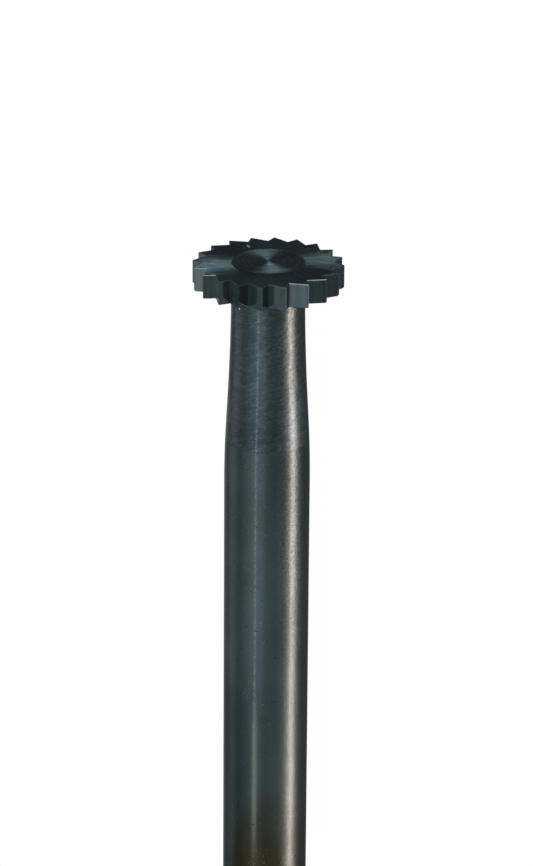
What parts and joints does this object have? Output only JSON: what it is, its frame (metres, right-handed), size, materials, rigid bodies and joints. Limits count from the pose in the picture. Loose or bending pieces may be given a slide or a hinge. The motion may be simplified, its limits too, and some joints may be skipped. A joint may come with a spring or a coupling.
{
  "type": "wheel bur",
  "caption": "Small wheel-shaped rotary cutter: a toothed steel wheel on a tapered neck and a plain round shank for a handpiece or collet.",
  "frame": {"origin": "centre of the shank's rear end face", "axes": "+Z along the axis from the shank's rear end to the cutting wheel; -Y towards the viewer, +X to the viewer's right"},
  "size_m": [0.004, 0.004, 0.0446],
  "materials": {
    "wheel_steel": "blued tool steel, ground",
    "neck_steel": "blued steel, fine turned and ground",
    "shank_steel": "blued steel, matt, with heat colours",
    "filler": "blackened filler metal"
  },
  "bodies": {
    "root": {"cutter_wheel": "wheel_steel", "neck_spindle": "neck_steel", "shank": "shank_steel", "wheel_braze": "filler", "shank_braze": "filler"}
  },
  "joints": []
}
